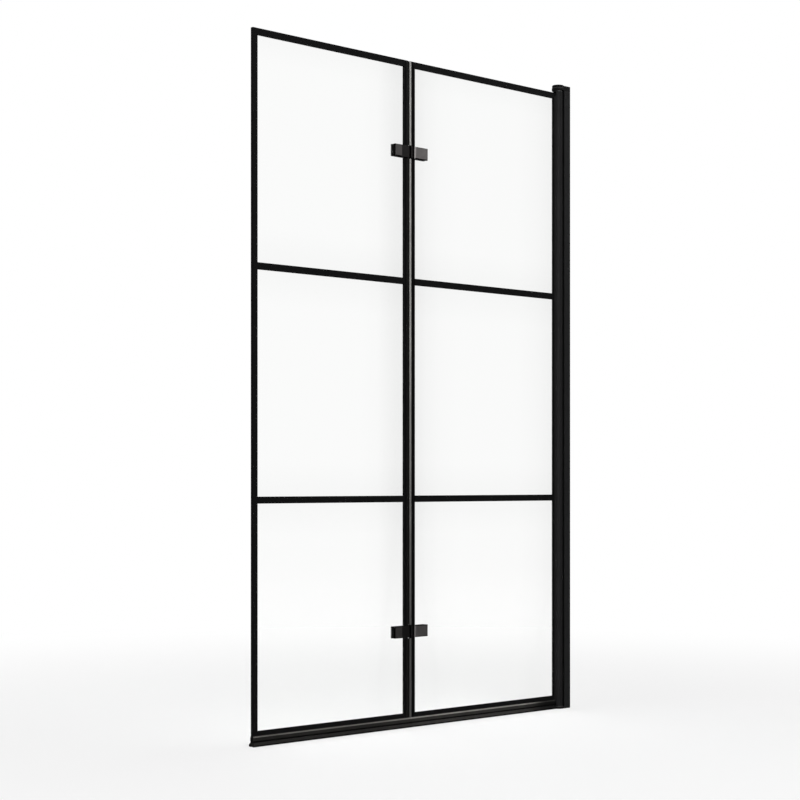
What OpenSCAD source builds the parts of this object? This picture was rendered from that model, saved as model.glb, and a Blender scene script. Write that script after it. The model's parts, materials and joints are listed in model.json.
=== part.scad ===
// Folding bath screen: two framed glass panels, a pivot post on the wall and two offset hinges.
// X runs from the free edge (negative) to the wall face (zero), Y from the room to the bath,
// and Z up from the bath rim. The origin is where wall face, rim and centre plane meet.

/* [Overall] */
// Width from the wall face to the free edge
screen_w = 900; // [760:1:1200]
// Height from the bath rim to the top of the post
screen_h = 1400; // [1200:1:1600]
// Width of the outer panel, which folds in over the inner one
outer_panel_w = 408; // [300:1:420]
// Gap between the two panel frames
panel_gap = 8; // [7:0.5:10]
// Drop from the top of the post to the top of the panels
panel_drop = 18.5; // [18:0.5:40]
// Height of the bottom edge of the panel frames above the rim
panel_lift = 10; // [9:0.5:14]

/* [Glass and frame] */
// Thickness of the glass
glass_t = 5; // [4:0.5:6]
// Bonding gap between glass and frame, on each face
bond_gap = 0.1; // [0.05:0.05:0.2]
// Gap between the edge of the glass and the web of the frame
glass_edge_gap = 0.3; // [0.1:0.1:1]
// Wall of the frame profiles and thickness of the bars
profile_wall = 0.9; // [0.7:0.1:1.2]
// Face width of the stiles
stile_w = 11.5; // [9:0.5:18]
// Face width of the wall stile outside the pivot tube
wall_stile_face = 9; // [7:0.5:18]
// Face height of the top rail
top_rail_h = 13; // [9:0.5:20]
// Face height of the bottom rail, with the part inside the seal
bottom_rail_h = 20; // [17:0.5:28]
// Face height of the glazing bars
bar_h = 13.5; // [8:0.5:20]
// Length of the wall stile that sits in the slot of the pivot tube
stile_in_tube = 4; // [3:0.1:4.5]

/* [Pivot post] */
// Width of the wall channel and of the caps
post_w = 26; // [24:0.5:30]
// Depth of the wall channel from the wall
channel_depth = 19.5; // [17:0.5:21]
// Wall of the channel
channel_wall = 1.5; // [1.2:0.1:1.8]
// Distance of the pivot axis from the wall
pivot_setback = 26.5; // [25:0.5:28]
// Outer diameter of the pivot tube
tube_d = 21.8; // [19:0.2:22]
// Wall of the pivot tube
tube_wall = 1.5; // [1.2:0.1:1.8]
// Running gap between the tube and the trough of the pivot rail
trough_gap = 0.4; // [0.3:0.1:0.6]
// Sliding gap between the pivot rail and the wall channel
rail_gap = 0.15; // [0.1:0.05:0.3]
// Wall of the pivot rail
rail_wall = 1.3; // [1:0.1:1.6]
// Thickness of the top cap at its round end
top_cap_t = 12; // [10:0.5:15]
// Reach of the round end of the top cap past the width of the post
cap_reach = 1; // [0.5:0.1:1.5]
// Step down from the round end of the top cap to the part on the channel
cap_step = 1; // [0.5:0.1:2]
// Thickness of the bottom cap
bottom_cap_t = 4; // [4:0.5:5]
// Height of the lid of the top cap, above its ledge
cap_lid_t = 6; // [4:0.5:8]
// Bevel of the caps, which sets the lid of the top cap back
cap_bevel = 0.8; // [0.3:0.1:1]
// Diameter of the pivot pins
pivot_pin_d = 6; // [5:0.1:6.2]
// Running clearance of the pins in their bushes, on the radius
pin_clearance = 0.05; // [0.02:0.01:0.1]
// Thickness of the flange of the bushes
bush_flange_t = 2; // [1.5:0.1:3]
// Length of the bush inside the tube
bush_plug_l = 16; // [12:1:24]
// Height of the lowest wall screw hole
wall_hole_z = 100; // [60:1:160]
// Diameter of the wall screw holes
wall_hole_d = 5.2; // [4.5:0.1:6]

/* [Hinges] */
// Distance of the middle of each hinge from the near end of the panel
hinge_inset = 189; // [120:1:260]
// Height of a hinge
hinge_h = 24.5; // [20:0.5:30]
// Distance of the fold axis behind the middle of the glass
fold_offset = 10; // [9.9:0.1:12]
// Radius of the knuckles
knuckle_r = 5; // [4.5:0.1:5.5]
// Diameter of the hinge pins
hinge_pin_d = 5; // [4:0.1:6]
// Thickness of the hinge leaf behind the glass
leaf_t = 4.4; // [2.6:0.1:4.6]
// Thickness of the clamp plate in front of the glass
clamp_t = 5.5; // [5:0.1:6]
// Depth of the step between the raised pad and the rest of the outer clamp plate
clamp_step = 1.6; // [0.8:0.1:2]
// Depth and width of the bevel beside the raised pad of the inner clamp plate
clamp_bevel = 2.5; // [1:0.1:2.8]
// Width of the groove beside that bevel
clamp_groove_w = 4.5; // [3:0.5:5]
// Depth of that groove below the foot of the bevel
clamp_groove_t = 1.4; // [0.8:0.1:1.6]
// Bevel of the upper and lower edges of the clamp plates
clamp_edge = 1.3; // [0.3:0.1:1.5]
// Reach of the outer clamp plate over the outer panel
outer_reach = 40.5; // [34:0.5:50]
// Reach of the inner clamp plate over the inner panel
inner_reach = 44; // [42:0.5:60]
// Width of the raised pad of the outer clamp plate
outer_raised_w = 18.5; // [16:0.5:24]
// Width of the raised pad of the inner clamp plate
inner_raised_w = 37.5; // [26:0.5:37.5]
// Gap between the two clamp plates
clamp_gap = 5.5; // [3:0.5:6]
// Diameter of the clamp screws
clamp_screw_d = 5; // [4:0.1:6]
// Wall of the sleeve round a clamp screw in the glass
sleeve_wall = 2.5; // [1.5:0.1:3]

/* [Seals] */
// Height of the top of the seal arms above the rim
seal_h = 20.5; // [18:0.5:23]
// Thickness of the seal arms
seal_arm_t = 1.5; // [1:0.1:2]
// Reach of the bottom lip towards the room
lip_front = 8; // [6.5:0.1:9]
// Reach of the bottom lip towards the bath
lip_back = 9.2; // [6.5:0.1:9.4]
// Height of the bevel along the top of the seal arms
seal_bevel_h = 3; // [2:0.5:5]
// Height of the groove above the lips
lip_groove_z = 10; // [9.6:0.1:11]
// Height of the middle of the edges of the lips
lip_z = 2.4; // [2:0.1:4]
// Height of the lips at their edges
lip_edge_h = 3.6; // [2.4:0.1:3.8]
// Clearance of the soft seals from the pieces that they brush
seal_clear = 0.3; // [0.1:0.05:0.4]
// Width of the bead that covers the joint
bead_w = 5.8; // [5:0.1:7.5]
// Wall of the bead and of its clip
bead_wall = 1.1; // [0.8:0.1:1.3]
// Length of the clip arms over the outer stile
clip_arm = 6; // [4:0.5:9]

/* [Hidden] */
$fn = 64;
// Cuts run this much past the faces that they open
cut = 1;
// Gap of a piece that is pressed or screwed into another
press_gap = 0.02;
// Gap between the bottom bush and the bottom cap
thrust_gap = 0.1;
// Gap between the top bush and the top cap
top_play = 0.4;

// Panels
frame_t = glass_t + 2 * (bond_gap + profile_wall);
face_y = frame_t / 2;
glass_y = glass_t / 2;
pocket_y = glass_y + bond_gap;
free_x = -screen_w;
outer_x = free_x + outer_panel_w;
inner_x = outer_x + panel_gap;
tube_r = tube_d / 2;
tube_face_x = -pivot_setback - sqrt(pow(tube_r, 2) - pow(face_y, 2));
wall_stile_x = tube_face_x + stile_in_tube;
panel_top = screen_h - panel_drop;
wall_stile_w = wall_stile_face + stile_in_tube;
daylight_low = panel_lift + bottom_rail_h;
daylight_high = panel_top - top_rail_h;
pane_h = (daylight_high - daylight_low - 2 * bar_h) / 3;
lower_bar_z = daylight_low + pane_h;
upper_bar_z = lower_bar_z + bar_h + pane_h;

// Pivot post
cap_r = post_w / 2;
channel_in_y = cap_r - channel_wall;
cap_low_z = screen_h - top_cap_t;
tube_low_z = bottom_cap_t + thrust_gap + bush_flange_t;
tube_high_z = cap_low_z - top_play - bush_flange_t;
slot_y = face_y + bond_gap;
slot_floor = -(pivot_setback + wall_stile_x) - bond_gap;
// Wall round the pocket of the tube
slot_wall = 1.2;
tube_in_r = tube_r - tube_wall;
trough_r = tube_r + trough_gap;
rail_y = channel_in_y - rail_gap;
// Distance of the rail inside the front edge and the back wall of the channel
rail_inset = 1;
rail_play = 1.5;
rail_front_x = rail_inset - channel_depth;
rail_back_x = -channel_wall - rail_play;
top_cap_r = cap_r + cap_reach;
block_t = top_cap_t - cap_step;
pivot_pin_r = pivot_pin_d / 2;
// Depth of the pivot pins in the caps and in the bushes, and the taper of their ends
top_pin_seat = 6;
bottom_pin_seat = bottom_cap_t - 1;
pin_in_bush = bush_plug_l - 2;
pin_taper = 1;
// Screw ports of the pivot rail: bore, wall, and place against the back and the sides of the rail
port_r = 1.75;
port_wall = 1.25;
port_back_gap = 0.6;
port_overlap = 0.4;
port_x = rail_back_x - port_r - port_wall - port_back_gap;
port_y = rail_y - rail_wall - port_r - port_wall + port_overlap;
cap_screw_l = 16;
cap_screw_head_r = 3.4;
wall_hole_pitch = (screen_h - 2 * wall_hole_z) / 3;
// Adjusting screws, in front of the ports and above, between and below the wall screws
adjust_r = 1.75;
adjust_head_r = 3.2;
adjust_l = 5.2;
adjust_port_gap = 1.4;
adjust_x = port_x - port_r - port_wall - adjust_r - adjust_port_gap;
adjust_low_z = wall_hole_z + 50;
adjust_zs = [adjust_low_z, screen_h / 2, screen_h - adjust_low_z];

// Hinges
fold_x = outer_x + panel_gap / 2;
hinge_zs = [panel_lift + hinge_inset, panel_top - hinge_inset];
hinge_pin_r = hinge_pin_d / 2;
// Running gaps between the knuckles, round them, and between the leaves
knuckle_gap = 0.2;
relief_gap = 0.3;
leaf_split = 0.3;
middle_knuckle_h = hinge_h / 3;
relief_r = knuckle_r + relief_gap;
clamp_front_y = -face_y - clamp_t;
outer_clamp_x = outer_x - outer_reach;
inner_clamp_x = inner_x + inner_reach;
inner_bevel_x = inner_clamp_x - inner_raised_w;
// Middle of the gap between the clamp plates, a little towards the outer panel
clamp_split_x = fold_x - 1;
clamp_screw_r = clamp_screw_d / 2;
clamp_head_r = 2 * clamp_screw_r;
// Clearance of the clamp screws, and of their sleeves in the glass
screw_clear = 0.1;
sleeve_r = clamp_screw_r + screw_clear + sleeve_wall;
glass_hole_r = sleeve_r + screw_clear;
pad_gap = 0.3;
outer_screw_x = outer_clamp_x + outer_raised_w / 2;
inner_screw_x = inner_clamp_x - inner_raised_w / 2;
// Metal left in front of the blind screw holes, and the gap at the end of the screws
blind_wall = 1.5;
screw_end_gap = 0.5;
screw_depth = clamp_t - blind_wall;
pin_head_t = 1;
pin_head_r = hinge_pin_r + 1.2;

// Seals
// Fit of a seal on its frame
seal_fit = 0.1;
arm_y = face_y + seal_fit;
seal_out_y = arm_y + seal_arm_t;
seal_web_t = 1.6;
seal_web_z = panel_lift - seal_fit - seal_web_t;
// Thickness of the arms at their top edge, height of the groove, and hollow under the foot
seal_tip_t = 0.4;
lip_groove_h = 2;
foot_hollow = 0.5;
// Floor of the groove, from its depth in the arm and its lower edge, and the root of the lips
neck_y = seal_out_y - seal_arm_t / 2;
neck_z = lip_groove_z - lip_groove_h / 2;
root_y = arm_y + seal_fit;
seal_end_play = 1;
inner_seal_x = -pivot_setback - cap_r - seal_end_play;
// Gap between the bottom seals of the two panels
seal_split = 0.5;
outer_seal_x = inner_x - seal_split;
// Room that the joint seal leaves above and below a hinge, at the bottom seal and at the panel's top
notch_play = 1.5;
notch_h = hinge_h + 2 * notch_play;
joint_seal_low = seal_h + 0.5;
joint_seal_high = panel_top - 1;
clip_y = face_y + seal_fit + bead_wall;
// Reach of the bead over the edge of the inner panel
bead_lap = 0.3;
bead_r = bead_w / 2;
bead_x = inner_x + bead_lap - bead_r;
bead_back_y = -face_y - seal_clear;

frame_color = "#1c1c1d";
post_color = "#202021";
hinge_color = "#3a3838";
seal_color = "#242322";
bead_color = "#8d8a86";
nylon_color = "#262626";
steel_color = "#9a9a98";
glass_color = [0.82, 0.90, 0.88, 0.35];

// Helpers

// Puts the pivot axis at the origin of its children
module at_pivot() translate([-pivot_setback, 0, 0]) children();

// Box between two corners
module span(low, high) translate(low) cube(high - low);

// Rectangle between two corners
module span_2d(low, high) translate(low) square(high - low);

// Stands a shape drawn in X and Z upright, with its thickness centred on Y
module upright(thick) rotate([90, 0, 0]) linear_extrude(thick, center = true) children();

// Runs a profile drawn in Y and Z along X
module along_x(from, to) translate([from, 0, 0]) rotate([90, 0, 90]) linear_extrude(to - from) children();

// Cylinder along Y between two planes
module rod_y(x, z, r, from, to) {
  translate([x, to, z]) rotate([90, 0, 0]) cylinder(r = r, h = to - from);
}

// Countersunk screw that points down from its head at the origin
module countersunk_screw(r, head_r, length) {
  head_t = head_r - r;
  difference() {
    union() {
      translate([0, 0, -length]) cylinder(r = r, h = length);
      translate([0, 0, -head_t]) cylinder(r1 = r, r2 = head_r, h = head_t);
    }
    for (turn = [0, 90]) rotate([0, 0, turn]) translate([0, 0, -head_t / 4])
      cube([1.3 * r, 0.25 * head_r, head_t / 2 + press_gap], center = true);
  }
}

// Hole for a countersunk screw
module countersunk_hole(r, head_r, length) {
  head_t = head_r - r;
  translate([0, 0, -length]) cylinder(r = r + press_gap, h = length + cut);
  translate([0, 0, -head_t]) cylinder(r1 = r + press_gap, r2 = head_r + press_gap, h = head_t + press_gap);
}

// Pivot post

module channel_profile() {
  difference() {
    span_2d([-channel_depth, -cap_r], [0, cap_r]);
    span_2d([-channel_depth - cut, -channel_in_y], [-channel_wall, channel_in_y]);
  }
}

module wall_channel() color(post_color) difference() {
  translate([0, 0, bottom_cap_t]) linear_extrude(cap_low_z - bottom_cap_t) channel_profile();
  for (i = [0:3]) translate([cut - channel_wall, 0, wall_hole_z + i * wall_hole_pitch])
    rotate([0, 90, 0]) cylinder(d = wall_hole_d, h = channel_wall + 2 * cut, center = true);
  for (z = adjust_zs) translate([adjust_x, cap_r, z]) rotate([-90, 0, 0])
    countersunk_hole(adjust_r, adjust_head_r, adjust_l);
}

module screw_port(side) {
  translate([port_x, side * port_y]) difference() {
    circle(r = port_r + port_wall);
    circle(r = port_r);
    span_2d([0, -port_r / 2], [port_r + port_wall + cut, port_r / 2]);
  }
}

// Static profile: a round trough that the pivot tube turns in, with a lip in front on each side
module rail_profile() {
  difference() {
    span_2d([rail_front_x, -rail_y], [rail_back_x, rail_y]);
    at_pivot() circle(r = trough_r);
    difference() {
      span_2d([rail_front_x + rail_wall, rail_wall - rail_y], [rail_back_x + cut, rail_y - rail_wall]);
      at_pivot() circle(r = trough_r + rail_wall);
    }
  }
  for (side = [-1, 1]) screw_port(side);
}

module pivot_rail() color(post_color) difference() {
  translate([0, 0, bottom_cap_t]) linear_extrude(cap_low_z - bottom_cap_t) rail_profile();
  for (z = adjust_zs) translate([adjust_x, cap_r, z]) rotate([-90, 0, 0])
    countersunk_hole(adjust_r, adjust_head_r, adjust_l);
}

// Half of the section of a cap: bevelled at its ledge, with a lid set back above it
module cap_half(r, thick, ledge) polygon(concat(
  [[0, 0], [r, 0], [r, ledge - cap_bevel], [r - cap_bevel, ledge]],
  thick > ledge ? [[r - cap_bevel, thick - cap_bevel], [r - 2 * cap_bevel, thick]] : [],
  [[0, thick]]
));

// Block on the end of the channel, with its pin seat and screw holes, and a round end that the
// children draw about the pivot axis; its flat face is at the origin
module cap_body(thick, seat) {
  difference() {
    union() {
      at_pivot() rotate_extrude() children();
      along_x(-pivot_setback, 0) {
        cap_half(cap_r, thick, thick);
        mirror([1, 0]) cap_half(cap_r, thick, thick);
      }
    }
    at_pivot() translate([0, 0, -cut]) cylinder(r = pivot_pin_r + press_gap, h = seat + cut);
    for (side = [-1, 1]) translate([port_x, side * port_y, thick])
      countersunk_hole(port_r, cap_screw_head_r, thick + cut);
  }
}

module top_cap() color(post_color) translate([0, 0, cap_low_z]) cap_body(block_t, top_pin_seat)
  cap_half(top_cap_r, top_cap_t, top_cap_t - cap_lid_t);

module bottom_cap() color(post_color) translate([0, 0, bottom_cap_t]) mirror([0, 0, 1])
  cap_body(bottom_cap_t, bottom_pin_seat) cap_half(cap_r, bottom_cap_t, bottom_cap_t);

module pivot_pin(seat) at_pivot() translate([0, 0, -seat]) {
  cylinder(r = pivot_pin_r, h = seat + pin_in_bush - pin_taper);
  translate([0, 0, seat + pin_in_bush - pin_taper])
    cylinder(r1 = pivot_pin_r, r2 = pivot_pin_r - pin_taper, h = pin_taper);
}

module top_pivot_pin() color(steel_color) {
  translate([0, 0, cap_low_z]) mirror([0, 0, 1]) pivot_pin(top_pin_seat);
}

module bottom_pivot_pin() color(steel_color) translate([0, 0, bottom_cap_t]) pivot_pin(bottom_pin_seat);

module cap_screws() color(steel_color) for (side = [-1, 1]) {
  translate([port_x, side * port_y, screen_h - cap_step])
    countersunk_screw(port_r, cap_screw_head_r, block_t + cap_screw_l);
  translate([port_x, side * port_y, 0]) mirror([0, 0, 1])
    countersunk_screw(port_r, cap_screw_head_r, bottom_cap_t + cap_screw_l);
}

module adjusting_screws() color(steel_color) for (z = adjust_zs) {
  translate([adjust_x, cap_r, z]) rotate([-90, 0, 0]) countersunk_screw(adjust_r, adjust_head_r, adjust_l);
}

// Round tube with a pocket that holds the edge of the inner panel
module tube_profile() {
  difference() {
    union() {
      difference() {
        circle(r = tube_r);
        circle(r = tube_in_r);
      }
      intersection() {
        circle(r = tube_r - tube_wall / 2);
        span_2d([-tube_r, -slot_y - slot_wall], [slot_wall - slot_floor, slot_y + slot_wall]);
      }
    }
    span_2d([-tube_r - cut, -slot_y], [-slot_floor, slot_y]);
  }
}

module pivot_tube() color(post_color) {
  at_pivot() translate([0, 0, tube_low_z]) linear_extrude(tube_high_z - tube_low_z) tube_profile();
}

// Flanged bush that plugs the end of the pivot tube, beside the pocket
module bush() at_pivot() difference() {
  union() {
    cylinder(r = tube_r - press_gap, h = bush_flange_t);
    linear_extrude(bush_flange_t + bush_plug_l) intersection() {
      circle(r = tube_in_r - press_gap);
      span_2d([slot_wall - slot_floor + press_gap, -tube_r], [tube_r, tube_r]);
    }
  }
  translate([0, 0, -cut])
    cylinder(r = pivot_pin_r + pin_clearance, h = bush_flange_t + bush_plug_l + 2 * cut);
}

module top_bush() color(nylon_color) translate([0, 0, cap_low_z - top_play]) mirror([0, 0, 1]) bush();

module bottom_bush() color(nylon_color) translate([0, 0, bottom_cap_t + thrust_gap]) bush();

// Panels

// Space that the glass takes up inside the frame of a panel
module glass_pocket(x0, x1) {
  span([x0 + profile_wall, -pocket_y, panel_lift + profile_wall],
       [x1 - profile_wall, pocket_y, panel_top - profile_wall]);
}

// One mitred member of a panel frame, from its outline in X and Z
module frame_member(points, x0, x1) color(frame_color) difference() {
  upright(frame_t) polygon(points);
  glass_pocket(x0, x1);
}

module left_stile(x0, x1, w) {
  frame_member([[x0, panel_lift], [x0 + w, daylight_low], [x0 + w, daylight_high], [x0, panel_top]], x0, x1);
}

module right_stile(x0, x1, w) {
  frame_member([[x1, panel_lift], [x1, panel_top], [x1 - w, daylight_high], [x1 - w, daylight_low]], x0, x1);
}

module top_rail(x0, x1, w0, w1) {
  frame_member([
    [x0, panel_top], [x0 + w0, daylight_high], [x1 - w1, daylight_high], [x1, panel_top]
  ], x0, x1);
}

module bottom_rail(x0, x1, w0, w1) {
  frame_member([
    [x0, panel_lift], [x1, panel_lift], [x1 - w1, daylight_low], [x0 + w0, daylight_low]
  ], x0, x1);
}

// Bar strips bonded to both faces of the glass
module glazing_bar(x0, x1, z) color(frame_color) for (side = [-1, 1]) {
  translate([x0, side * (pocket_y + profile_wall / 2) - profile_wall / 2, z])
    cube([x1 - x0, profile_wall, bar_h]);
}

module pane(x0, x1, hole_x) color(glass_color) {
  inset = profile_wall + glass_edge_gap;
  difference() {
    span([x0 + inset, -glass_y, panel_lift + inset], [x1 - inset, glass_y, panel_top - inset]);
    for (z = hinge_zs) rod_y(hole_x, z, glass_hole_r, -glass_y - cut, glass_y + cut);
  }
}

module inner_glass() pane(inner_x, wall_stile_x, inner_screw_x);

module inner_wall_stile() right_stile(inner_x, wall_stile_x, wall_stile_w);

module inner_joint_stile() left_stile(inner_x, wall_stile_x, stile_w);

module inner_top_rail() top_rail(inner_x, wall_stile_x, stile_w, wall_stile_w);

module inner_bottom_rail() bottom_rail(inner_x, wall_stile_x, stile_w, wall_stile_w);

module inner_upper_bar() glazing_bar(inner_x + stile_w, wall_stile_x - wall_stile_w, upper_bar_z);

module inner_lower_bar() glazing_bar(inner_x + stile_w, wall_stile_x - wall_stile_w, lower_bar_z);

module outer_glass() pane(free_x, outer_x, outer_screw_x);

module outer_free_stile() left_stile(free_x, outer_x, stile_w);

module outer_joint_stile() right_stile(free_x, outer_x, stile_w);

module outer_top_rail() top_rail(free_x, outer_x, stile_w, stile_w);

module outer_bottom_rail() bottom_rail(free_x, outer_x, stile_w, stile_w);

module outer_upper_bar() glazing_bar(free_x + stile_w, outer_x - stile_w, upper_bar_z);

module outer_lower_bar() glazing_bar(free_x + stile_w, outer_x - stile_w, lower_bar_z);

// Seals

// Foot under the web: lips that reach out to both sides from under the grooves, and flat feet between them
module seal_foot() polygon([
  [-face_y, foot_hollow], [face_y, foot_hollow], [face_y, 0], [seal_out_y, 0],
  [lip_back, lip_z - lip_edge_h / 2], [lip_back, lip_z + lip_edge_h / 2], [neck_y, neck_z],
  [root_y, neck_z], [root_y, seal_web_z + seal_web_t / 2],
  [-root_y, seal_web_z + seal_web_t / 2], [-root_y, neck_z],
  [-neck_y, neck_z], [-lip_front, lip_z + lip_edge_h / 2], [-lip_front, lip_z - lip_edge_h / 2],
  [-seal_out_y, 0], [-face_y, 0]
]);

// Room beside one arm: the groove above the lip and the bevel along the top
module beside_arm() {
  span_2d([neck_y, neck_z], [seal_out_y + cut, neck_z + lip_groove_h]);
  polygon([
    [seal_out_y, seal_h - seal_bevel_h], [seal_out_y + cut, seal_h - seal_bevel_h],
    [seal_out_y + cut, seal_h + cut], [arm_y + seal_tip_t, seal_h + cut], [arm_y + seal_tip_t, seal_h]
  ]);
}

// Arms that grip the bottom rail, a web, and a foot with a lip towards the room and one towards the bath
module bottom_seal_profile() {
  difference() {
    span_2d([-seal_out_y, seal_web_z], [seal_out_y, seal_h]);
    span_2d([-arm_y, seal_web_z + seal_web_t], [arm_y, seal_h + cut]);
    beside_arm();
    mirror([1, 0]) beside_arm();
  }
  seal_foot();
}

module inner_bottom_seal() color(seal_color) along_x(inner_x, inner_seal_x) bottom_seal_profile();

module outer_bottom_seal() color(seal_color) along_x(free_x, outer_seal_x) bottom_seal_profile();

// Clip over the edge of the outer stile, with an arm that reaches to the bead
module clip_profile() {
  span_2d([outer_x - clip_arm, -clip_y], [bead_x - bead_r, bead_wall - clip_y]);
  span_2d([outer_x - clip_arm, clip_y - bead_wall], [outer_x + bead_wall, clip_y]);
  span_2d([outer_x + seal_fit, -clip_y], [outer_x + bead_wall, clip_y]);
}

// Hollow half-round bead that laps over the edge of the inner panel
module bead_profile() {
  translate([bead_x, bead_back_y]) difference() {
    circle(r = bead_r);
    circle(r = bead_r - bead_wall);
    span_2d([-bead_w, 0], [bead_w, bead_w]);
  }
  span_2d([bead_x - bead_r + bead_wall / 2, bead_back_y - bead_wall / 2],
          [bead_x + bead_r - bead_wall / 2, bead_back_y]);
}

// Runs a section up the joint, left out at the hinges
module joint_lengths() difference() {
  translate([0, 0, joint_seal_low]) linear_extrude(joint_seal_high - joint_seal_low) children();
  for (z = hinge_zs) span([outer_clamp_x, -2 * lip_front, z - notch_h / 2],
                          [inner_clamp_x, 2 * lip_back, z + notch_h / 2]);
}

module joint_seal_clip() color(seal_color) joint_lengths() clip_profile();

module joint_seal_bead() color(bead_color) joint_lengths() bead_profile();

// Hinges

// Heights of the outer knuckles and of the one between them, from the middle of the hinge
outer_knuckles = [[-hinge_h / 2, -middle_knuckle_h / 2 - knuckle_gap],
                  [middle_knuckle_h / 2 + knuckle_gap, hinge_h / 2]];
inner_knuckles = [[-middle_knuckle_h / 2, middle_knuckle_h / 2]];

// Knuckle with the web that joins it to its leaf, on the side of that leaf
module knuckle(ends, side) translate([0, 0, ends[0]]) linear_extrude(ends[1] - ends[0]) {
  translate([fold_x, fold_offset]) circle(r = knuckle_r);
  span_2d([min(fold_x, fold_x + side * knuckle_r), face_y],
          [max(fold_x, fold_x + side * knuckle_r), fold_offset]);
}

// Room that a leaf leaves for the knuckles of the other leaf
module knuckle_relief(ends) {
  translate([fold_x, fold_offset, ends[0] - knuckle_gap])
    cylinder(r = relief_r, h = ends[1] - ends[0] + 2 * knuckle_gap);
}

// Leaf behind the glass; side is -1 for the outer panel and 1 for the inner one
module hinge_leaf(z, side, end_x, own, other, screw_x, bore_r) color(hinge_color) translate([0, 0, z]) {
  difference() {
    union() {
      difference() {
        span([min(end_x, fold_x + side * leaf_split), face_y, -hinge_h / 2],
             [max(end_x, fold_x + side * leaf_split), face_y + leaf_t, hinge_h / 2]);
        for (ends = other) knuckle_relief(ends);
      }
      for (ends = own) knuckle(ends, side);
    }
    translate([fold_x, fold_offset, -hinge_h / 2 - cut]) cylinder(r = bore_r, h = hinge_h + 2 * cut);
    translate([screw_x, face_y + leaf_t, 0]) rotate([-90, 0, 0])
      countersunk_hole(clamp_screw_r, clamp_head_r, leaf_t + cut);
  }
}

module outer_leaf(z) hinge_leaf(z, -1, outer_clamp_x, outer_knuckles, inner_knuckles, outer_screw_x,
                                hinge_pin_r + press_gap);

module inner_leaf(z) hinge_leaf(z, 1, inner_clamp_x, inner_knuckles, outer_knuckles, inner_screw_x,
                                hinge_pin_r + pin_clearance);

// Clamp plate in front of the glass: a stepped outline in X and Y, bevelled above and below
module clamp_plate(z, points, screw_x) color(hinge_color) difference() {
  intersection() {
    translate([0, 0, z - hinge_h / 2]) linear_extrude(hinge_h) polygon(points);
    translate([0, 0, z]) along_x(outer_clamp_x - cut, inner_clamp_x + cut) polygon([
      [cut - face_y, -hinge_h / 2 - cut], [clamp_front_y + clamp_edge + cut, -hinge_h / 2 - cut],
      [clamp_front_y, clamp_edge - hinge_h / 2], [clamp_front_y, hinge_h / 2 - clamp_edge],
      [clamp_front_y + clamp_edge + cut, hinge_h / 2 + cut], [cut - face_y, hinge_h / 2 + cut]
    ]);
  }
  rod_y(screw_x, z, clamp_screw_r + press_gap, -face_y - screw_depth, cut - face_y);
}

module outer_clamp(z) clamp_plate(z, [
  [outer_clamp_x, -face_y], [outer_clamp_x, clamp_front_y + clamp_edge],
  [outer_clamp_x + clamp_edge, clamp_front_y], [outer_clamp_x + outer_raised_w, clamp_front_y],
  [outer_clamp_x + outer_raised_w, clamp_front_y + clamp_step],
  [clamp_split_x - clamp_gap / 2, clamp_front_y + clamp_step], [clamp_split_x - clamp_gap / 2, -face_y]
], outer_screw_x);

module inner_clamp(z) clamp_plate(z, [
  [inner_clamp_x, -face_y], [inner_clamp_x, clamp_front_y + clamp_edge],
  [inner_clamp_x - clamp_edge, clamp_front_y], [inner_bevel_x + clamp_bevel, clamp_front_y],
  [inner_bevel_x, clamp_front_y + clamp_bevel], [inner_bevel_x, clamp_front_y + clamp_bevel + clamp_groove_t],
  [inner_bevel_x - clamp_groove_w, clamp_front_y + clamp_bevel + clamp_groove_t],
  [inner_bevel_x - clamp_groove_w, clamp_front_y + clamp_bevel],
  [clamp_split_x + clamp_gap / 2, clamp_front_y + clamp_bevel],
  [clamp_split_x + clamp_gap / 2, -face_y]
], inner_screw_x);

// Rubber pads between the hinge and both faces of the glass
module glass_pads(z, from, to, screw_x) color(seal_color) difference() {
  for (low_y = [-face_y, glass_y])
    span([from, low_y, z - hinge_h / 2], [to, low_y + face_y - glass_y, z + hinge_h / 2]);
  rod_y(screw_x, z, clamp_screw_r + screw_clear, -face_y - cut, face_y + cut);
}

module outer_pads(z) glass_pads(z, outer_clamp_x, outer_x - stile_w - pad_gap, outer_screw_x);

module inner_pads(z) glass_pads(z, inner_x + stile_w + pad_gap, inner_clamp_x, inner_screw_x);

// Sleeve that keeps a clamp screw off the glass
module glass_sleeve(z, x) color(nylon_color) difference() {
  rod_y(x, z, sleeve_r, -glass_y, glass_y);
  rod_y(x, z, clamp_screw_r + screw_clear, -glass_y - cut, glass_y + cut);
}

module clamp_screw(z, x) color(steel_color) translate([x, face_y + leaf_t, z]) rotate([-90, 0, 0])
  countersunk_screw(clamp_screw_r, clamp_head_r, leaf_t + frame_t + screw_depth - screw_end_gap);

module hinge_pin(z) color(steel_color) translate([fold_x, fold_offset, z]) {
  cylinder(r = hinge_pin_r, h = hinge_h, center = true);
  for (side = [-1, 1]) translate([0, 0, side * (hinge_h + pin_head_t) / 2])
    cylinder(r = pin_head_r, h = pin_head_t, center = true);
}

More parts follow.
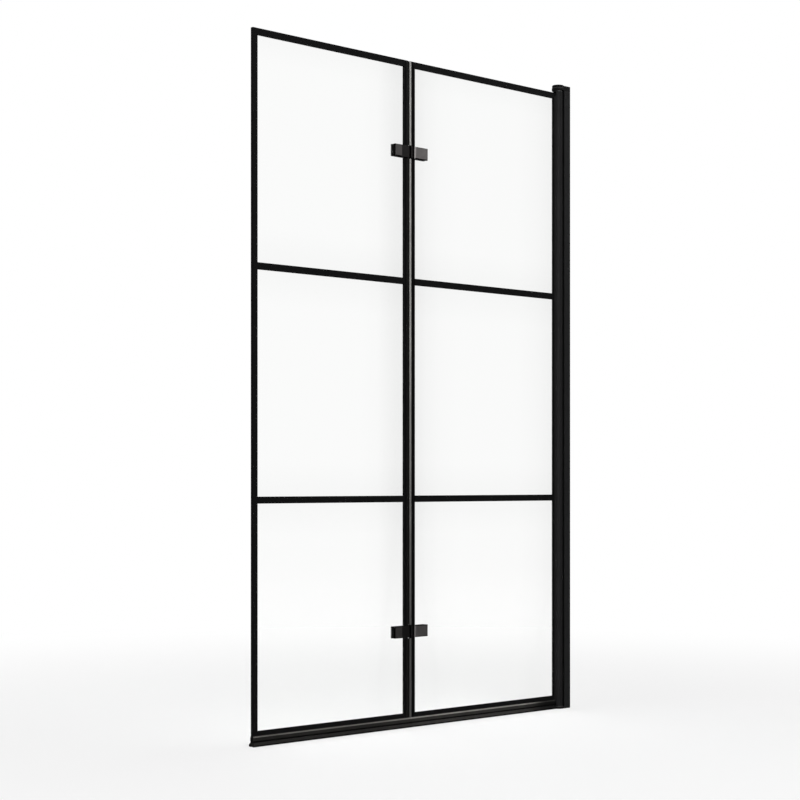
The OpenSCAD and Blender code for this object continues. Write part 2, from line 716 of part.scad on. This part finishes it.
wall_channel();
pivot_rail();
top_cap();
bottom_cap();
top_pivot_pin();
bottom_pivot_pin();
cap_screws();
adjusting_screws();
pivot_tube();
top_bush();
bottom_bush();
inner_glass();
inner_wall_stile();
inner_joint_stile();
inner_top_rail();
inner_bottom_rail();
inner_upper_bar();
inner_lower_bar();
inner_bottom_seal();
outer_glass();
outer_free_stile();
outer_joint_stile();
outer_top_rail();
outer_bottom_rail();
outer_upper_bar();
outer_lower_bar();
outer_bottom_seal();
joint_seal_clip();
joint_seal_bead();
inner_leaf(hinge_zs[1]);  // upper_inner_leaf
inner_clamp(hinge_zs[1]);  // upper_inner_clamp
inner_pads(hinge_zs[1]);  // upper_inner_pads
glass_sleeve(hinge_zs[1], inner_screw_x);  // upper_inner_sleeve
clamp_screw(hinge_zs[1], inner_screw_x);  // upper_inner_screw
outer_leaf(hinge_zs[1]);  // upper_outer_leaf
outer_clamp(hinge_zs[1]);  // upper_outer_clamp
outer_pads(hinge_zs[1]);  // upper_outer_pads
glass_sleeve(hinge_zs[1], outer_screw_x);  // upper_outer_sleeve
clamp_screw(hinge_zs[1], outer_screw_x);  // upper_outer_screw
hinge_pin(hinge_zs[1]);  // upper_hinge_pin
inner_leaf(hinge_zs[0]);  // lower_inner_leaf
inner_clamp(hinge_zs[0]);  // lower_inner_clamp
inner_pads(hinge_zs[0]);  // lower_inner_pads
glass_sleeve(hinge_zs[0], inner_screw_x);  // lower_inner_sleeve
clamp_screw(hinge_zs[0], inner_screw_x);  // lower_inner_screw
outer_leaf(hinge_zs[0]);  // lower_outer_leaf
outer_clamp(hinge_zs[0]);  // lower_outer_clamp
outer_pads(hinge_zs[0]);  // lower_outer_pads
glass_sleeve(hinge_zs[0], outer_screw_x);  // lower_outer_sleeve
clamp_screw(hinge_zs[0], outer_screw_x);  // lower_outer_screw
hinge_pin(hinge_zs[0]);  // lower_hinge_pin
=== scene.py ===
import json
import math

import bmesh
import bpy
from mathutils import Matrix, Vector


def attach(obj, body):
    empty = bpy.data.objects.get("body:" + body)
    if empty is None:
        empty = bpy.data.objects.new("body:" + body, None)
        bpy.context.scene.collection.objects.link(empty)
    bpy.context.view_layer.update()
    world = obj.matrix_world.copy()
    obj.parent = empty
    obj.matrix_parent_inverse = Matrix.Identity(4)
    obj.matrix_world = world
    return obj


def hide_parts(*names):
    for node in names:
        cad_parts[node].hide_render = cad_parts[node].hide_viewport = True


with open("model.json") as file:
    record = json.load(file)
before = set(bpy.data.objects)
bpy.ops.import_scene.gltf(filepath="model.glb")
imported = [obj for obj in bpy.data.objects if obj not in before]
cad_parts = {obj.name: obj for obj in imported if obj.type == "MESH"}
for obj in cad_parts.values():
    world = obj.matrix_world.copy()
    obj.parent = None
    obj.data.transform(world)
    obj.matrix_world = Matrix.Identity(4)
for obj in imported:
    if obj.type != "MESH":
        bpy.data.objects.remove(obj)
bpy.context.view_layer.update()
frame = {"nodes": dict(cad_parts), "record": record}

# Lengths are in metres and angles in degrees, except where a comment says millimetres
MM = 0.001

# Camera, solved from the vanishing points of the screen
IMAGE_PX = 800
SENSOR_MM = 36.0
FOCAL_PX = 1799.15
HORIZON_PX = 481.75
CAMERA_YAW = 42.937
CAMERA_PLACE = (-3.0432, -2.7206, 0.5093)
CAMERA_REACH = 100

# Studio: the room's own tone, and the height (as a sine) at which mirrored white starts and is full
ROOM_COLOUR = (0.16, 0.16, 0.162)
WHITE_STARTS = 0.25
WHITE_FULL = 0.8

# Lamps by name: place, size and power. They all shine at the middle of the screen
LAMPS = {
    "key": ((-2.2, -4.3, 2.8), (3.0, 2.2), 185),
    "side": ((3.6, -2.6, 3.4), (2.4, 1.6), 60),
    "back": ((-0.6, 3.6, 3.4), (3.0, 1.6), 60),
}
SCREEN_MIDDLE = (-0.45, 0, 0.7)

# Floor: its tone, half its length, and its height just under the screen
FLOOR_COLOUR = (0.86, 0.86, 0.86)
FLOOR_HALF = 30.0
FLOOR_LEVEL = -0.5 * MM
# It turns white away from the foot of the screen: distances of start and end, and the share it starts with
SCREEN_FOOT = (-0.45, 0, 0)
FADE_STARTS, FADE_ENDS = 0.5, 2.6
FADE_FIRST_SHARE = 0.7

# Rounding of edges that a file, a die or a coating leaves, for each slot but the glass
EDGES = {
    "frame_black": 0.25 * MM, "post_black": 0.25 * MM, "hinge_metal": 0.35 * MM, "seal_black": 0.2 * MM,
    "seal_grey": 0.1 * MM, "steel": 0.12 * MM, "nylon": 0.15 * MM,
}
EDGE_STEPS = 3
SHARP_FROM = 35
# Corners this close are one, and faces this close to one plane are one face
SAME_PLACE = 0.001 * MM
SAME_PLANE = 0.5
# Weight of wide faces on the normals of a softened piece, at its largest
WIDE_FACE_WEIGHT = 100

# Base colours, as linear red, green and blue
POST_BLACK = (0.0055, 0.0055, 0.0057)
# Darker copy of the frame black for the inner joint stile: painted shade from the bead
SHADED_STILE_BLACK = (0.001, 0.001, 0.001)
FRAME_BLACK = (0.002, 0.002, 0.0021)
CAP_BLACK = (0.0015, 0.0015, 0.0016)
HINGE_BLACK = (0.03, 0.0295, 0.029)
SEAL_BLACK = (0.003, 0.003, 0.0029)
NYLON_BLACK = (0.02, 0.02, 0.02)
STEEL_GREY = (0.55, 0.55, 0.54)
GLASS_TINT = (0.996, 1.0, 0.995)
GLASS_SHADOW = (0.92, 0.94, 0.93)
WHITE = (1, 1, 1)

# Red, green and blue of the tones below: of plain black, and the warmer ones of clamps, seals and bead
GREY_CAST = (1.0, 0.985, 0.975)
CLAMP_CAST = (1.05, 0.985, 0.97)
SEAL_CAST = (1.04, 1.0, 0.93)
BEAD_CAST = (1.0, 0.985, 0.94)

# Every table of tones lists pairs of a place in millimetres and the tone, or share of it, from there on
# Clamp plates along X, in painted light: end in painted shade, outer pad with a painted sheen, recess and groove
# in painted shade, bevel with a painted highlight, inner pad with a painted sheen, and the tone that pad fades to
CLAMP_PAINTED_LIGHT_TONES = [
    (-540, 0.003), (-532, 0.052), (-514, 0.009), (-482, 0.0003), (-477.5, 0.275), (-475, 0.1), (-443, 0.02),
]
# Bottom seals up Z: foot of the lip in painted shade, lip, groove in painted shade, face, thin dark line of
# painted shade, bevel with a painted highlight
SEAL_LIGHT_AND_SHADE_TONES = [(0, 0.0002), (2.8, 0.015), (8.5, 0.0002), (11.5, 0.0135), (17.2, 0.0004), (17.7, 0.1)]
# Share of their tone that the bottom seals keep along X: their painted highlight is brighter on the inner panel
# and fades out near the post
SEAL_HIGHLIGHT_ALONG = [(-900, 0.9), (-600, 1), (-420, 1.8), (-140, 1.8), (-90, 0.4), (-75, 0.2)]
# Joint bead up Z: a painted reflection, brightest up high and darkest near the rim
BEAD_REFLECTION_TONES = [(0, 0.045), (200, 0.05), (390, 0.11), (610, 0.185), (830, 0.28), (1385, 0.265)]
# Clip along X, with painted shade in the corner beside the bead
CLIP_SHADE_TONES = [(-500, 0.0035), (-491.6, 0.0003), (-488, 0.003)]
# Wall stile along X: painted shade at its outer edge, which gets lighter towards the tube
WALL_STILE_SHADE_TONES = [(-46, 0.0003), (-43.2, 0.003), (-40.5, 0.011), (-37, 0.0135)]
# Round end of the top cap up Z: side, ledge with a painted highlight, and lid in painted shade, and the X in
# millimetres where that end stops
CAP_LIGHT_AND_SHADE_TONES = [(1388, 0.003), (1392.9, 0.04), (1394.3, 0.0008)]
CAP_END = -25
# Clearness of the panes along X and up Z, a little less beside the joint, the post and the bars: painted shade
PANE_SHADE_ALONG = [
    (-900, 1), (-620, 1), (-575, 0.985), (-525, 0.905), (-500, 0.9), (-480, 0.9), (-460, 0.918), (-440, 0.95),
    (-400, 0.985), (-340, 1), (-160, 1), (-100, 0.975), (-60, 0.94),
]
PANE_SHADE_UP = [
    (0, 1), (400, 1), (465, 0.965), (483, 0.965), (550, 1), (850, 1), (915, 0.965), (935, 0.965), (1000, 1),
    (1320, 1), (1370, 0.97),
]
# Least clearness of that painted shade beside the joint near the rim and higher up, each with its height in
# millimetres
RIM_CLEAR, HIGH_CLEAR = (100, 0.98), (450, 0.9)

# Share of its tone that the side of the bead turned away from the light keeps, as painted shade
BEAD_PAINTED_SHADE = 0.1
# How much lighter the side of the pivot tube by the glass is: painted light
TUBE_PAINTED_LIGHT = 2.1
# Share of its tone that the lower hinge keeps, as painted shade. It lies under the first height, and the upper
# hinge over the second
LOWER_HINGE_SHADE = 0.42
BETWEEN_HINGES = (0.6, 0.8)
# Share of their painted sheen that the sides, undersides and tops of the clamp plates keep: painted shade
SIDES, UNDERSIDES, TOPS = 0.03, 0.03, 0.15

# Spans of a normal's part along one axis in which a tone changes: where faces turn down or left, up or to the
# front, where the tube turns to the glass, and where the bead turns away from the light
FACES_DOWN = FACES_LEFT = (-0.6, -0.3)
FACES_UP = (0.3, 0.6)
FACES_FRONT = (-0.7, -0.45)
TUBE_TURNS_LEFT = (-0.9, -0.3)
BEAD_TURNS_AWAY = (-0.2, 0.4)

# Span that most noise lies in
NOISE_SPAN = (0.3, 0.7)
# Slow changes of tone along coated profiles and along seals
COAT_DRIFT = {"scale": 14, "darker": 0.88, "lighter": 1.15, "detail": 3}
SEAL_DRIFT = {"scale": 25, "darker": 0.9, "lighter": 1.1}
# Stretch of noise that makes lines along X, along Z, or round a turned piece, and long waves in glass
LINES_ALONG_X = (0.05, 1, 1)
LINES_ALONG_Z = (1, 1, 0.05)
TURNED_RINGS = (0.1, 0.1, 1)
ROLLER_WAVES = (1, 1, 0.4)

slot_of = {s["node"]: s["material_slot"] for s in frame["record"]["subparts"]}
body_of = {n: b for b, members in frame["record"]["behaviour"]["bodies"].items() for n in members}


# Camera

def make_camera():
    data = bpy.data.cameras.new("camera")
    data.sensor_width = SENSOR_MM
    data.lens = FOCAL_PX / IMAGE_PX * SENSOR_MM
    data.shift_y = (HORIZON_PX - IMAGE_PX / 2) / IMAGE_PX
    data.clip_end = CAMERA_REACH
    camera = bpy.data.objects.new("camera", data)
    camera.location = CAMERA_PLACE
    level = math.radians(90)
    camera.rotation_euler = (level, 0, -math.radians(CAMERA_YAW))
    bpy.context.scene.collection.objects.link(camera)
    bpy.context.scene.camera = camera


# Node trees

class Tree:
    """A node tree of a material or the world, and short ways to build it."""

    def __init__(self, tree):
        self.tree = tree

    def add(self, kind, operation=None):
        node = self.tree.nodes.new(kind)
        if operation:
            node.operation = operation
        return node

    def link(self, output, socket):
        self.tree.links.new(output, socket)

    def spread(self, value, low, high, to_low=0.0, to_high=1.0, interpolation="LINEAR"):
        """Value between low and high, mapped onto another range and held at its ends."""
        spread = self.add("ShaderNodeMapRange")
        spread.interpolation_type = interpolation
        for socket, number in (("From Min", low), ("From Max", high), ("To Min", to_low), ("To Max", to_high)):
            spread.inputs[socket].default_value = number
        self.link(value, spread.inputs["Value"])
        return spread.outputs["Result"]

    def combine(self, operation, one, other):
        """One number made of two."""
        combined = self.add("ShaderNodeMath", operation)
        self.link(one, combined.inputs[0])
        self.link(other, combined.inputs[1])
        return combined.outputs["Value"]

    def larger(self, one, other):
        return self.combine("MAXIMUM", one, other)

    def ray(self, kind):
        """1 for rays of a kind, such as Camera or Shadow, or else 0."""
        return self.add("ShaderNodeLightPath").outputs[f"Is {kind} Ray"]

    def seen(self):
        """1 for what the camera sees straight or through glass, or else 0."""
        return self.larger(self.ray("Camera"), self.ray("Transmission"))

    def show(self, output_node, factor, first, second):
        """Shows the first shader where the factor is 0 and the second where it is 1."""
        mix = self.add("ShaderNodeMixShader")
        for output, socket in zip((factor, first, second), mix.inputs):
            self.link(output, socket)
        self.link(mix.outputs["Shader"], self.tree.nodes[output_node].inputs["Surface"])


class Shader(Tree):
    """A material with one Principled node, driven by place, facing and noise."""

    def __init__(self, name, colour, roughness, specular=0.5, metallic=0.0, coat=0.0, cast=GREY_CAST):
        self.material = bpy.data.materials.new(name)
        self.material.use_nodes = True
        super().__init__(self.material.node_tree)
        self.bsdf = self.tree.nodes["Principled BSDF"]
        self.colour = colour
        self.roughness = roughness
        self.cast = cast
        self.set("Base Color", (*colour, 1))
        self.set("Roughness", roughness)
        self.set("Specular IOR Level", specular)
        self.set("Metallic", metallic)
        self.set("Coat Weight", coat)
        coordinates = self.add("ShaderNodeTexCoord")
        self.place = coordinates.outputs["Object"]
        self.facing = coordinates.outputs["Normal"]

    def set(self, socket, value):
        self.bsdf.inputs[socket].default_value = value

    def part(self, vector, axis):
        split = self.add("ShaderNodeSeparateXYZ")
        self.link(vector, split.inputs["Vector"])
        return split.outputs[axis]

    def at(self, axis):
        """One coordinate of the place, in the object's own space."""
        return self.part(self.place, axis)

    def turned(self, axis, span, before, after):
        """A value before and another after the normal's part along an axis passes a span."""
        return self.spread(self.part(self.facing, axis), *span, before, after)

    def tones(self, axis, stops, interpolation="CONSTANT"):
        """The shader's cast in tones along an axis, from pairs of millimetres and tone."""
        first, last = stops[0][0], stops[-1][0] + 1
        ramp = self.add("ShaderNodeValToRGB")
        ramp.color_ramp.interpolation = interpolation
        elements = ramp.color_ramp.elements
        while len(elements) < len(stops):
            elements.new(1.0)
        for element, (place, tone) in zip(elements, stops):
            element.position = (place - first) / (last - first)
            element.color = (*(tone * share for share in self.cast), 1)
        self.link(self.spread(self.at(axis), first * MM, last * MM), ramp.inputs["Fac"])
        return ramp.outputs["Color"]

    def tint(self, colour):
        """The shader's own colour multiplied by another."""
        tinted = self.add("ShaderNodeVectorMath", "MULTIPLY")
        tinted.inputs[1].default_value = self.colour
        self.link(colour, tinted.inputs[0])
        return tinted.outputs["Vector"]

    def blend(self, factor, second):
        """The shader's own colour where the factor is 0, and a second one where it is 1."""
        blend = self.add("ShaderNodeMix")
        blend.data_type = "RGBA"
        factor_socket, first_socket, second_socket = (s for s in blend.inputs if s.enabled)
        first_socket.default_value = (*self.colour, 1)
        self.link(factor, factor_socket)
        self.link(second, second_socket)
        return next(s for s in blend.outputs if s.enabled)

    def noise(self, scale, detail=2.0, stretch=(1, 1, 1)):
        mapping = self.add("ShaderNodeMapping")
        mapping.inputs["Scale"].default_value = stretch
        self.link(self.place, mapping.inputs["Vector"])
        noise = self.add("ShaderNodeTexNoise")
        noise.inputs["Scale"].default_value = scale
        noise.inputs["Detail"].default_value = detail
        self.link(mapping.outputs["Vector"], noise.inputs["Vector"])
        return noise.outputs["Fac"]

    def drift(self, scale, darker, lighter, detail=2.0):
        """A share that wanders between darker and lighter from place to place."""
        return self.spread(self.noise(scale, detail), *NOISE_SPAN, darker, lighter)

    def paint(self, colour, *factors):
        """Makes the base colour of a colour multiplied by each of the factors."""
        for factor in factors:
            scale = self.add("ShaderNodeVectorMath", "SCALE")
            self.link(colour, scale.inputs[0])
            self.link(factor, scale.inputs["Scale"])
            colour = scale.outputs["Vector"]
        self.link(colour, self.bsdf.inputs["Base Color"])

    def vary_colour(self, *factors, scale, darker, lighter, detail=2.0):
        """Paints the shader's own colour, wandering between darker and lighter, times each of the factors."""
        ramp = self.add("ShaderNodeValToRGB")
        for element, position, share in zip(ramp.color_ramp.elements, NOISE_SPAN, (darker, lighter)):
            element.position = position
            element.color = (*(c * share for c in self.colour), 1)
        self.link(self.noise(scale, detail), ramp.inputs["Fac"])
        self.paint(ramp.outputs["Color"], *factors)

    def vary_roughness(self, noise, below, above, at_least=None):
        """Lets the roughness wander below and above the shader's own."""
        roughness = self.spread(noise, *NOISE_SPAN, self.roughness - below, self.roughness + above)
        if at_least is not None:
            roughness = self.larger(roughness, at_least)
        self.link(roughness, self.bsdf.inputs["Roughness"])

    def dull_sides(self):
        """1 on the faces that look up, down or to the free edge, which would mirror lamps and floor, or else 0."""
        down = self.turned("Z", FACES_DOWN, 1, 0)
        up = self.turned("Z", FACES_UP, 0, 1)
        left = self.turned("X", FACES_LEFT, 1, 0)
        return self.larger(self.larger(down, up), left)

    def bump(self, noise, depth, strength):
        bump = self.add("ShaderNodeBump")
        bump.inputs["Distance"].default_value = depth
        bump.inputs["Strength"].default_value = strength
        self.link(noise, bump.inputs["Height"])
        self.link(bump.outputs["Normal"], self.bsdf.inputs["Normal"])


# Materials

def orange_peel(shader):
    """Patches of roughness and the fine relief that all the powder coats share."""
    shader.vary_roughness(shader.noise(scale=60, detail=4), below=0.04, above=0.06)
    shader.bump(shader.noise(scale=1400), depth=0.02 * MM, strength=0.4)


def powder_coat(name, colour, roughness, specular, painted_left_light=None):
    """Matt powder coat, if wanted with painted light on the side that faces the glass."""
    shader = Shader(name, colour, roughness, specular)
    factors = []
    if painted_left_light:
        factors.append(shader.turned("X", TUBE_TURNS_LEFT, painted_left_light, 1))
    shader.vary_colour(*factors, **COAT_DRIFT)
    orange_peel(shader)
    return shader.material


def cap_painted_light_coat(name):
    """The same coat on the top cap, with a painted highlight along the ledge round its lid and painted shade on
    the lid.
    """
    shader = Shader(name, CAP_BLACK, roughness=0.6, specular=0.08)
    at_round_end = shader.spread(shader.at("X"), CAP_END * MM, (CAP_END + 1) * MM, 1, 0)
    tone = shader.blend(at_round_end, shader.tones("Z", CAP_LIGHT_AND_SHADE_TONES))
    shader.paint(tone, shader.drift(**COAT_DRIFT))
    orange_peel(shader)
    return shader.material


def wall_stile_shaded_coat(name):
    """The same coat on the wall stile, with painted shade at its outer edge."""
    shader = Shader(name, WHITE, roughness=0.7, specular=0.04)
    shader.paint(shader.tones("X", WALL_STILE_SHADE_TONES, "LINEAR"), shader.drift(**COAT_DRIFT))
    orange_peel(shader)
    return shader.material


def brush(shader, below, above):
    """Faint brushed grain along a hinge, dull where a face would mirror lamps and floor."""
    grain = shader.noise(scale=900, stretch=LINES_ALONG_X)
    shader.vary_roughness(grain, below, above, at_least=shader.dull_sides())
    shader.bump(grain, depth=0.005 * MM, strength=0.3)


def satin_metal(name):
    """Satin black plating of the hinges' leaves."""
    shader = Shader(name, HINGE_BLACK, roughness=0.4, specular=0.3, metallic=0.2)
    shader.vary_colour(scale=30, darker=0.92, lighter=1.1)
    brush(shader, below=0.04, above=0.05)
    return shader.material


def clamp_painted_light(name):
    """The same plating on the clamp plates, in painted light: pads with a painted sheen, a painted highlight on
    the bevel, and painted shade in the recess, on the sides, undersides and tops, and on the lower hinge.
    """
    shader = Shader(name, WHITE, roughness=0.42, specular=0.05, cast=CLAMP_CAST)
    shader.paint(
        shader.tones("X", CLAMP_PAINTED_LIGHT_TONES),
        shader.turned("Y", FACES_FRONT, 1, SIDES),
        shader.turned("Z", FACES_DOWN, UNDERSIDES, 1),
        shader.turned("Z", FACES_UP, 1, TOPS),
        shader.spread(shader.at("Z"), *BETWEEN_HINGES, LOWER_HINGE_SHADE, 1),
        shader.drift(scale=60, darker=0.92, lighter=1.08),
    )
    brush(shader, below=0.05, above=0.06)
    return shader.material


def soft_plastic(name, specular, roughness=0.5, colour=WHITE, lines=LINES_ALONG_Z, coat=0.0, cast=SEAL_CAST,
                 dull_ends=False):
    """Extruded soft plastic: faint draw lines along its length and a waxy gloss, if wanted with dull cut ends."""
    shader = Shader(name, colour, roughness, specular, coat=coat, cast=cast)
    shader.set("Coat Roughness", 0.15)
    draw_lines = shader.noise(scale=240, stretch=lines)
    at_ends = shader.turned("Z", FACES_UP, 0, 1) if dull_ends else None
    shader.vary_roughness(draw_lines, below=0.05, above=0.07, at_least=at_ends)
    shader.bump(draw_lines, depth=0.01 * MM, strength=0.3)
    return shader


def plain_seal(name):
    shader = soft_plastic(name, specular=0.12, colour=SEAL_BLACK)
    shader.vary_colour(scale=25, darker=0.88, lighter=1.12)
    return shader.material


def joint_clip(name):
    """Black clip, with painted shade in the corner beside the bead."""
    shader = soft_plastic(name, specular=0.06, dull_ends=True)
    shader.paint(shader.tones("X", CLIP_SHADE_TONES), shader.drift(**SEAL_DRIFT))
    return shader.material


def bottom_seal(name):
    """Black seal: matt lip and face, painted shade in the grooves and at the foot, and a painted highlight on the
    bevel that changes along its length.
    """
    shader = soft_plastic(name, specular=0.04, lines=LINES_ALONG_X)
    tone = shader.tones("Z", SEAL_LIGHT_AND_SHADE_TONES)
    along = shader.tones("X", SEAL_HIGHLIGHT_ALONG, "LINEAR")
    shader.paint(tone, along, shader.drift(**SEAL_DRIFT))
    return shader.material


def joint_bead(name):
    """Grey bead: its grey is partly its own and partly a painted reflection that darkens towards the rim, with
    painted shade on the side turned away from the light.
    """
    shader = soft_plastic(name, specular=0.12, roughness=0.3, coat=0.3, cast=BEAD_CAST)
    away = shader.turned("X", BEAD_TURNS_AWAY, 1, BEAD_PAINTED_SHADE)
    shader.paint(shader.tones("Z", BEAD_REFLECTION_TONES, "LINEAR"), away, shader.drift(**SEAL_DRIFT))
    return shader.material


def nylon(name):
    shader = Shader(name, NYLON_BLACK, roughness=0.5, specular=0.4)
    shader.set("Subsurface Weight", 0.1)
    shader.set("Subsurface Scale", 1 * MM)
    shader.vary_colour(scale=300, darker=0.94, lighter=1.03)
    shader.vary_roughness(shader.noise(scale=900), below=0.06, above=0.08)
    return shader.material


def turned_steel(name):
    shader = Shader(name, STEEL_GREY, roughness=0.3, metallic=1.0)
    shader.vary_colour(scale=80, darker=0.9, lighter=1.05)
    shader.vary_roughness(shader.noise(scale=1500, stretch=TURNED_RINGS), below=0.08, above=0.08)
    return shader.material


def clear_glass(name):
    """Clear toughened glass with a faint roller wave and painted shade beside the joint, the post and the bars;
    lamps shine through it.
    """
    shader = Shader(name, GLASS_TINT, roughness=0.0, cast=WHITE)
    along = shader.tones("X", PANE_SHADE_ALONG, "LINEAR")
    up = shader.tones("Z", PANE_SHADE_UP, "LINEAR")
    (low, low_share), (high, high_share) = RIM_CLEAR, HIGH_CLEAR
    least = shader.spread(shader.at("Z"), low * MM, high * MM, low_share, high_share)
    shader.paint(shader.tint(up), shader.larger(along, least))
    shader.set("Transmission Weight", 1.0)
    shader.set("IOR", 1.5)
    shader.bump(shader.noise(scale=5, detail=1, stretch=ROLLER_WAVES), depth=0.05 * MM, strength=0.2)
    see_through = shader.add("ShaderNodeBsdfTransparent")
    see_through.inputs["Color"].default_value = (*GLASS_SHADOW, 1)
    shader.show("Material Output", shader.ray("Shadow"), shader.bsdf.outputs["BSDF"], see_through.outputs["BSDF"])
    return shader.material


def make_materials():
    """Materials by slot, or by the end of a node's name where pieces of one slot differ."""
    return {
        "post_black": powder_coat("post_black", POST_BLACK, roughness=0.6, specular=0.11),
        "pivot_tube": powder_coat("tube_painted_light", POST_BLACK, roughness=0.6, specular=0.11, painted_left_light=TUBE_PAINTED_LIGHT),
        # The inner joint stile gets a darker copy of the frame coat: painted shade from the bead
        "inner_joint_stile": powder_coat("stile_black", SHADED_STILE_BLACK, roughness=0.7, specular=0.03),
        "inner_wall_stile": wall_stile_shaded_coat("wall_stile_painted_shade"),
        "frame_black": powder_coat("frame_black", FRAME_BLACK, roughness=0.62, specular=0.052),
        "top_cap": cap_painted_light_coat("cap_painted_light"),
        "clear_glass": clear_glass("clear_glass"),
        "hinge_metal": satin_metal("hinge_metal"),
        "_clamp": clamp_painted_light("clamp_painted_light"),
        "seal_black": plain_seal("seal_black"),
        "_bottom_seal": bottom_seal("bottom_seal_painted_light"),
        "_clip": joint_clip("clip_painted_shade"),
        "seal_grey": joint_bead("seal_grey"),
        "nylon": nylon("nylon"),
        "steel": turned_steel("steel"),
    }


# Pieces

def add_mesh_object(name, mesh):
    thing = bpy.data.objects.new(name, mesh)
    bpy.context.scene.collection.objects.link(thing)
    return thing


def soften(name, edge):
    """Copies a CAD node with its sharp edges rounded, and lets the copy stand for it."""
    mesh = frame["nodes"][name].data.copy()
    clean = bmesh.new()
    clean.from_mesh(mesh)
    bmesh.ops.remove_doubles(clean, verts=clean.verts, dist=SAME_PLACE)
    bmesh.ops.dissolve_limit(clean, angle_limit=math.radians(SAME_PLANE), verts=clean.verts, edges=clean.edges)
    clean.to_mesh(mesh)
    clean.free()
    for polygon in mesh.polygons:
        polygon.use_smooth = True
    piece = add_mesh_object(name + "_finish", mesh)
    bevel = piece.modifiers.new("edges", "BEVEL")
    bevel.width = edge
    bevel.segments = EDGE_STEPS
    bevel.limit_method = "ANGLE"
    bevel.angle_limit = math.radians(SHARP_FROM)
    flat = piece.modifiers.new("flat_faces", "WEIGHTED_NORMAL")
    flat.keep_sharp = True
    flat.weight = WIDE_FACE_WEIGHT
    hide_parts(name)
    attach(piece, body_of[name])
    return piece


def dress(materials):
    """Gives every CAD node its material, and rounds the edges of all but the glass."""
    for name, node in frame["nodes"].items():
        slot = slot_of[name]
        material = next((m for end, m in materials.items() if name.endswith(end)), materials[slot])
        pieces = [node]
        if slot in EDGES:
            pieces.append(soften(name, EDGES[slot]))
        for piece in pieces:
            piece.data.materials.clear()
            piece.data.materials.append(material)


# Stage and light

def make_floor():
    """Pale floor that fades to white, so that no horizon shows."""
    mesh = bpy.data.meshes.new("floor")
    corners = [(x * FLOOR_HALF, y * FLOOR_HALF, FLOOR_LEVEL) for x, y in ((-1, -1), (1, -1), (1, 1), (-1, 1))]
    mesh.from_pydata(corners, [], [(0, 1, 2, 3)])
    floor = add_mesh_object("floor", mesh)
    shader = Shader("pale_floor", FLOOR_COLOUR, roughness=0.6, specular=0.2)
    shader.vary_colour(scale=2, darker=0.99, lighter=1.01)
    distance = shader.add("ShaderNodeVectorMath", "DISTANCE")
    shader.link(shader.place, distance.inputs[0])
    distance.inputs[1].default_value = SCREEN_FOOT
    fade = shader.spread(distance.outputs["Value"], FADE_STARTS, FADE_ENDS, FADE_FIRST_SHARE, 1, "SMOOTHSTEP")
    share = shader.combine("MULTIPLY", shader.seen(), fade)
    white = shader.add("ShaderNodeEmission")
    shader.show("Material Output", share, shader.bsdf.outputs["BSDF"], white.outputs["Emission"])
    mesh.materials.append(shader.material)


def make_world():
    """White to the camera and through glass. What surfaces mirror is white overhead and dark at eye level."""
    world = bpy.data.worlds.new("studio")
    bpy.context.scene.world = world
    world.use_nodes = True
    tree = Tree(world.node_tree)
    room = world.node_tree.nodes["Background"]
    room.inputs["Color"].default_value = (*ROOM_COLOUR, 1)
    white = tree.add("ShaderNodeBackground")
    white.inputs["Color"].default_value = (*WHITE, 1)
    direction = tree.add("ShaderNodeTexCoord")
    split = tree.add("ShaderNodeSeparateXYZ")
    tree.link(direction.outputs["Generated"], split.inputs["Vector"])
    overhead = tree.spread(split.outputs["Z"], WHITE_STARTS, WHITE_FULL, interpolation="SMOOTHSTEP")
    mirrored = tree.combine("MULTIPLY", tree.ray("Glossy"), overhead)
    factor = tree.larger(tree.seen(), mirrored)
    tree.show("World Output", factor, room.outputs["Background"], white.outputs["Background"])


def make_lights():
    for name, (place, size, power) in LAMPS.items():
        data = bpy.data.lights.new(name, "AREA")
        data.shape = "RECTANGLE"
        data.size, data.size_y = size
        data.energy = power
        lamp = bpy.data.objects.new(name, data)
        lamp.location = place
        lamp.rotation_mode = "QUATERNION"
        lamp.rotation_quaternion = (Vector(SCREEN_MIDDLE) - Vector(place)).to_track_quat("-Z", "Y")
        bpy.context.scene.collection.objects.link(lamp)


make_camera()
dress(make_materials())
make_floor()
make_world()
make_lights()
bpy.context.scene.view_settings.view_transform = "Standard"
